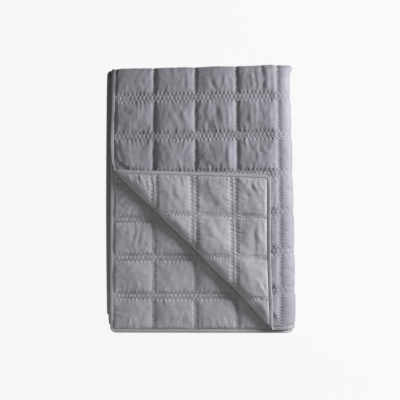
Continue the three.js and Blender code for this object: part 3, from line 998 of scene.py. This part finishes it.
def edge_rows():
    """Rows of plain stitches that hold the binding along its edges: u, v and the face."""
    inset = RIM + EDGE_STITCH.inset
    rows = []
    for face, start, stop, edge in (
        (INNER, 20, TURN_LEG - 20, "u"),
        (OUTER, TURN_LEG + 12, 636, "u"),
        (INNER, CUT_LENGTH - TURN_LEG - 10, CUT_LENGTH - 20, "u"),
        (INNER, 20, TURN_LEG - 20, "v"),
        (OUTER, TURN_LEG + 12, 470, "v"),
        (INNER, 20, TURN_LEG + 20, "far v"),
    ):
        along = running(start, stop)
        across = np.full(len(along), CUT_LENGTH - inset if edge == "far v" else inset)
        rows.append((across, along, face) if edge == "u" else (along, across, face))
    return rows


def between_bands(u, v):
    """The parts of a lengthwise row between the double rows."""
    clear = np.abs(from_seam(v, CROSSWISE)[1]) > BAND_HALF
    breaks = np.nonzero(np.diff(clear.astype(int)))[0] + 1
    parts = np.split(np.arange(len(v)), breaks)
    return [(u[part], v[part]) for part in parts if clear[part[0]]]


def thread_rows():
    """Every row of quilting stitches that shows: u, v, the face and how far it stands off."""
    rows = []
    for seams, numbers, face, start, stop in THREAD_ROWS:
        for number in numbers:
            at = seam_place(seams, number)
            if seams is CROSSWISE:
                pair = [zigzag(seams, number, side, start(at), stop(at)) for side in (-1, 1)]
                rows += [(*row, face, 0.0) for row in pair]
            else:
                row = zigzag(seams, number, 0, start(at), stop(at))
                rows += [(*part, face, SINGLE_LIFT[face]) for part in between_bands(*row)]
    return [(*off_seams(u, v), face, lift) for u, v, face, lift in rows if len(u) > 1]


def thread_guide():
    """Needle holes on the cloth, an edge for each stitch, and the way the cloth faces."""
    places, facing, edges = [], [], []
    count = 0
    rows = [(*row, 1) for row in thread_rows()] + [(*row, 0.0, 2) for row in edge_rows()]
    for u, v, face, lift, step in rows:
        here = cloth_place(u, v, face, THREAD_LIFT + lift)
        above = cloth_place(u, v, face, THREAD_LIFT + lift + 1.0)
        places.append(here)
        facing.append(above - here)
        edges += [(count + k, count + k + 1) for k in range(0, len(u) - 1, step)]
        count += len(u)
    mesh = bpy.data.meshes.new("thread_guide")
    mesh.from_pydata(np.concatenate(places).tolist(), edges, [])
    away = mesh.attributes.new("cloth_facing", "FLOAT_VECTOR", "POINT")
    away.data.foreach_set("vector", np.concatenate(facing).astype(np.float32).ravel())
    return add_object("quilting_thread", mesh)


class Nodes:
    """A short way to add nodes to a tree and join them."""

    def __init__(self, tree):
        self.nodes = tree.nodes
        self.links = tree.links

    def put(self, socket, value):
        if isinstance(value, bpy.types.NodeSocket):
            self.links.new(value, socket)
        else:
            socket.default_value = value

    def add(self, kind, settings=None, **inputs):
        made = self.nodes.new(kind)
        for name, value in (settings or {}).items():
            setattr(made, name, value)
        for name, value in inputs.items():
            self.put(made.inputs[name.replace("_", " ")], value)
        return made

    def sum(self, operation, *terms, kind="ShaderNodeMath"):
        made = self.add(kind, {"operation": operation})
        for socket, term in zip(made.inputs, terms):
            self.put(socket, term)
        return made.outputs["Value" if operation == "LENGTH" else 0]


def stitch_tree():
    """One arched stitch on every edge of the guide, as long as the edge."""
    tree = bpy.data.node_groups.new("zigzag_stitches", "GeometryNodeTree")
    for name, way in (("Guide", "INPUT"), ("Stitches", "OUTPUT")):
        tree.interface.new_socket(name, in_out=way, socket_type="NodeSocketGeometry")
    net = Nodes(tree)

    guide = net.add("NodeGroupInput").outputs["Guide"]
    ends = net.add("GeometryNodeInputMeshEdgeVertices").outputs
    run = net.sum("SUBTRACT", ends["Position 2"], ends["Position 1"], kind="ShaderNodeVectorMath")
    facing = net.add("GeometryNodeInputNamedAttribute", {"data_type": "FLOAT_VECTOR"})
    facing.inputs["Name"].default_value = "cloth_facing"
    keep = net.add("GeometryNodeCaptureAttribute", {"domain": "EDGE"}, Geometry=guide)
    for name, value in (("Run", run), ("Facing", facing.outputs["Attribute"])):
        keep.capture_items.new("VECTOR", name)
        net.put(keep.inputs[name], value)
    kept = keep.outputs
    points = net.add("GeometryNodeMeshToPoints", {"mode": "EDGES"}, Mesh=kept["Geometry"])

    turn = "FunctionNodeAlignRotationToVector"
    lie = net.add(turn, {"axis": "X"}, Vector=kept["Run"]).outputs["Rotation"]
    stand = net.add(turn, {"axis": "Z", "pivot_axis": "X"}, Rotation=lie, Vector=kept["Facing"])
    length = net.sum("LENGTH", kept["Run"], kind="ShaderNodeVectorMath")
    size = net.add("ShaderNodeCombineXYZ", X=length, Y=1.0, Z=1.0)

    arch = net.add(
        "GeometryNodeCurveQuadraticBezier",
        Resolution=STITCH_STEPS,
        Start=(-0.5, 0.0, -STITCH_SINK * METRES),
        Middle=(0.0, 0.0, STITCH_RISE * METRES),
        End=(0.5, 0.0, -STITCH_SINK * METRES),
    )
    radius = THREAD_WIDTH / 2 * METRES
    section = net.add("GeometryNodeCurvePrimitiveCircle", Resolution=THREAD_STEPS, Radius=radius)
    stitch = net.add(
        "GeometryNodeCurveToMesh",
        Curve=arch.outputs["Curve"],
        Profile_Curve=section.outputs["Curve"],
        Fill_Caps=True,
    )
    sew = net.add(
        "GeometryNodeInstanceOnPoints",
        Points=points.outputs["Points"],
        Instance=stitch.outputs["Mesh"],
        Rotation=stand.outputs["Rotation"],
        Scale=size.outputs["Vector"],
    )
    real = net.add("GeometryNodeRealizeInstances", Geometry=sew.outputs["Instances"])
    net.add("NodeGroupOutput", Stitches=real.outputs["Geometry"])
    return tree


def make_thread():
    """The guide's stitches as one mesh."""
    thread = thread_guide()
    sewing = thread.modifiers.new("sewing", "NODES")
    sewing.node_group = stitch_tree()
    sewn = thread.evaluated_get(bpy.context.evaluated_depsgraph_get())
    stitches = bpy.data.meshes.new_from_object(sewn)
    stitches.shade_smooth()
    stitches.materials.clear()
    thread.modifiers.remove(sewing)
    thread.data = stitches
    return thread


# Cloth finishes: the colours of the inner and the outer face, and of the thread
PANEL_COLOURS = ((0.371, 0.363, 0.384, 1.0), (0.279, 0.273, 0.300, 1.0))
BINDING_COLOURS = ((0.372, 0.367, 0.384, 1.0), (0.300, 0.296, 0.316, 1.0))
THREAD_COLOUR = (0.400, 0.396, 0.415)

# The weave's pitch and height, and the height of its slubs
WEAVE_PITCH = 1.1 * METRES
WEAVE_HEIGHT = 0.05 * METRES
SLUB_HEIGHT = 0.12 * METRES

# The pull of the thread on the cloth: its depth and its reach from a single row on each
# face, its reach from a double row, and the range of u over which half of it is lost
PULL_DEPTH = (1.4 * METRES, 1.6 * METRES)
PULL_REACH = (2.6 * METRES, 3.0 * METRES)
PULL_REACH_DOUBLE = 3.2 * METRES
PULL_EASED = (0.36, 0.40)


class Finish(Nodes):
    """A material and its nodes."""

    def __init__(self, name):
        self.material = bpy.data.materials.new(name)
        self.material.use_nodes = True
        super().__init__(self.material.node_tree)

    def surface(self, **inputs):
        for name, value in inputs.items():
            self.put(self.nodes["Principled BSDF"].inputs[name.replace("_", " ")], value)

    def span(self, value, low, high, to_low, to_high, soft=True):
        kind = "SMOOTHSTEP" if soft else "LINEAR"
        made = self.add("ShaderNodeMapRange", {"interpolation_type": kind})
        for socket, given in zip(made.inputs, (value, low, high, to_low, to_high)):
            self.put(socket, given)
        return made.outputs[0]

    def noise(self, place, scale, detail=2.0):
        return self.add("ShaderNodeTexNoise", Vector=place, Scale=scale, Detail=detail).outputs["Fac"]

    def slubs(self, place, scale):
        drawn_out = self.add("ShaderNodeMapping", Vector=place, Scale=scale)
        return self.noise(drawn_out.outputs["Vector"], 1.0)

    def shaded(self, colour, level):
        made = self.add("ShaderNodeVectorMath", {"operation": "SCALE"}, Scale=level)
        self.put(made.inputs[0], colour)
        return made.outputs["Vector"]

    def bump(self, height, distance, strength):
        made = self.add("ShaderNodeBump", Height=height, Distance=distance, Strength=strength)
        return made.outputs["Normal"]

    def zig(self, along, seams):
        """The way of a zigzag row, to and fro across its seam."""
        turn = self.sum("FRACT", self.sum("DIVIDE", along, seams.period * METRES))
        fold = self.sum("ABSOLUTE", self.sum("SUBTRACT", turn, 0.5))
        swing = self.sum("SUBTRACT", self.sum("MULTIPLY", fold, 4.0), 1.0)
        return self.sum("MULTIPLY", swing, seams.swing * METRES)

    def off_seam(self, at, seams):
        """How far a place is from the nearest seam."""
        past_first = self.sum("SUBTRACT", at, seams.first * METRES)
        steps = self.sum("DIVIDE", past_first, seams.pitch * METRES)
        part = self.sum("SUBTRACT", steps, self.sum("ROUND", steps))
        return self.sum("MULTIPLY", part, seams.pitch * METRES)


def stitch_pull(finish, u, v, reach):
    """Height of the cloth between the threads: 0 along a thread, 1 away from it."""
    single = finish.sum("SUBTRACT", finish.off_seam(u, LENGTHWISE), finish.zig(v, LENGTHWISE))
    pull = finish.span(finish.sum("ABSOLUTE", single), 0.0, reach, 0.0, 1.0)
    off_band = finish.sum("ABSOLUTE", finish.off_seam(v, CROSSWISE))
    in_band = finish.span(off_band, (BAND_HALF - 1) * METRES, (BAND_HALF + 2) * METRES, 1.0, 0.0)
    pull = finish.sum("MAXIMUM", pull, in_band)
    row = finish.sum("SUBTRACT", off_band, CROSSWISE.row * METRES)
    double = finish.sum("ABSOLUTE", finish.sum("SUBTRACT", row, finish.zig(u, CROSSWISE)))
    return finish.sum("MINIMUM", pull, finish.span(double, 0.0, PULL_REACH_DOUBLE, 0.0, 1.0))


def woven_finish(name, colours, with_stitches):
    """Plain woven cotton: fine threads, slubs and slow changes of shade."""
    finish = Finish(name)
    cloth = finish.add("ShaderNodeUVMap", {"uv_map": "flat_cloth"}).outputs["UV"]
    parts = finish.add("ShaderNodeSeparateXYZ", Vector=cloth)
    u, v = parts.outputs["X"], parts.outputs["Y"]
    face = finish.add("ShaderNodeAttribute", {"attribute_name": "outer_face"}).outputs["Fac"]
    colour = finish.add("ShaderNodeMix", {"data_type": "RGBA"}, Factor=face)
    colour.inputs[6].default_value, colour.inputs[7].default_value = colours

    slow = finish.noise(cloth, 14.0, 3.0)
    warp_slubs = finish.slubs(cloth, (900.0, 60.0, 1.0))
    weft_slubs = finish.slubs(cloth, (60.0, 900.0, 1.0))
    grain = finish.noise(cloth, 260.0)
    level = finish.span(slow, 0.3, 0.7, 0.93, 1.05)
    for noise, low, high, shade in (
        (warp_slubs, 0.25, 0.75, 0.07),
        (weft_slubs, 0.25, 0.75, 0.05),
        (grain, 0.3, 0.7, 0.06),
    ):
        level = finish.sum("ADD", level, finish.span(noise, low, high, -shade, shade))

    warp = finish.sum("SINE", finish.sum("MULTIPLY", u, 2 * math.pi / WEAVE_PITCH))
    weft = finish.sum("SINE", finish.sum("MULTIPLY", v, 2 * math.pi / WEAVE_PITCH))
    weave = finish.sum("MULTIPLY", finish.sum("MULTIPLY", warp, weft), WEAVE_HEIGHT)
    height = finish.sum("ADD", weave, finish.sum("MULTIPLY", warp_slubs, SLUB_HEIGHT))
    if with_stitches:
        depth = finish.span(face, 0.0, 1.0, *PULL_DEPTH, soft=False)
        depth = finish.sum("MULTIPLY", depth, finish.span(u, *PULL_EASED, 1.0, 0.5))
        reach = finish.span(face, 0.0, 1.0, *PULL_REACH, soft=False)
        pull = finish.sum("MULTIPLY", stitch_pull(finish, u, v, reach), depth)
        height = finish.sum("ADD", height, pull)
    finish.surface(
        Base_Color=finish.shaded(colour.outputs[2], level),
        Normal=finish.bump(height, 1.0, 1.0),
        Roughness=finish.span(slow, 0.3, 0.7, 0.82, 0.92),
        Sheen_Weight=0.5,
        Sheen_Roughness=0.4,
        Specular_IOR_Level=0.25,
    )
    return finish.material


def thread_finish():
    """Twisted cotton thread."""
    finish = Finish("quilting_thread_cotton")
    place = finish.add("ShaderNodeTexCoord").outputs["Object"]
    twist = finish.noise(place, 900.0)
    finish.surface(
        Base_Color=finish.shaded(THREAD_COLOUR, finish.span(twist, 0.3, 0.7, 0.85, 1.12)),
        Normal=finish.bump(twist, 0.2 * METRES, 0.6),
        Roughness=0.7,
        Sheen_Weight=0.1,
    )
    return finish.material


# The pieces
panel = make_panel()
binding = make_binding()
thread = make_thread()
panel.data.materials.append(woven_finish("quilted_cotton", PANEL_COLOURS, True))
binding.data.materials.append(woven_finish("binding_cotton", BINDING_COLOURS, False))
thread.data.materials.append(thread_finish())

for piece, slot in ((panel, "quilted_cloth"), (binding, "binding_cloth"), (thread, "quilted_cloth")):
    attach(piece, "root")
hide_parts("quilted_panel")
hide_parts("edge_binding")


# Floor, light and camera. The floor lies a hair below the cloth
FLOOR_REACH = 30.0
FLOOR_HEIGHT = -0.0004
PAPER_WHITE = 0.92
WHITE = (1.0, 1.0, 1.0, 1.0)
SKY_STRENGTH = 0.02
SENSOR = 36.0
PICTURE_ACROSS = 0.960
CAMERA_HEIGHT = 6.0
CAMERA_AIM = (-0.0024, -0.0012)
TOP_OF_CLOTH = 0.085

# Lights: name, place, aim, width, power and colour
LIGHTS = (
    ("window", (1.85, 0.55, 0.70), (0.0, 0.0, 0.08), 0.55, 79.0, (0.94, 0.96, 1.0)),
    ("ceiling", (0.45, 0.25, 2.6), (0.0, 0.0, 0.08), 2.0, 14.5, (1.0, 0.99, 0.98)),
    ("far_wall", (-0.95, -0.95, 0.42), (0.0, 0.0, 0.04), 0.8, 5.0, (1.0, 0.99, 0.98)),
)


def make_floor():
    mesh = bpy.data.meshes.new("floor")
    far = FLOOR_REACH
    corners = [(-far, -far), (far, -far), (far, far), (-far, far)]
    mesh.from_pydata([(*corner, FLOOR_HEIGHT) for corner in corners], [], [(0, 1, 2, 3)])
    floor = add_object("floor", mesh)
    finish = Finish("pale_floor")
    finish.surface(
        Base_Color=(0.02, 0.02, 0.02, 1.0),
        Roughness=1.0,
        Specular_IOR_Level=0.0,
        Emission_Color=WHITE,
        Emission_Strength=PAPER_WHITE,
    )
    mesh.materials.append(finish.material)
    floor.visible_diffuse = False
    floor.visible_glossy = False


def make_light():
    for name, place, aim, width, power, colour in LIGHTS:
        data = bpy.data.lights.new(name, "AREA")
        data.shape = "DISK"
        data.size = width
        data.energy = power
        data.color = colour
        light = add_object(name, data)
        light.location = place
        light.rotation_euler = (Vector(aim) - Vector(place)).to_track_quat("-Z", "Y").to_euler()
    world = bpy.data.worlds.new("studio")
    world.use_nodes = True
    sky = world.node_tree.nodes["Background"].inputs
    sky["Color"].default_value = WHITE
    sky["Strength"].default_value = SKY_STRENGTH
    bpy.context.scene.world = world


def make_camera():
    data = bpy.data.cameras.new("camera")
    data.sensor_width = SENSOR
    data.lens = SENSOR * (CAMERA_HEIGHT - TOP_OF_CLOTH) / PICTURE_ACROSS
    data.clip_end = 100.0
    camera = add_object("camera", data)
    camera.location = (*CAMERA_AIM, CAMERA_HEIGHT)
    bpy.context.scene.camera = camera


make_floor()
make_light()
make_camera()
bpy.context.scene.view_settings.view_transform = "Standard"

bpy.context.view_layer.update()
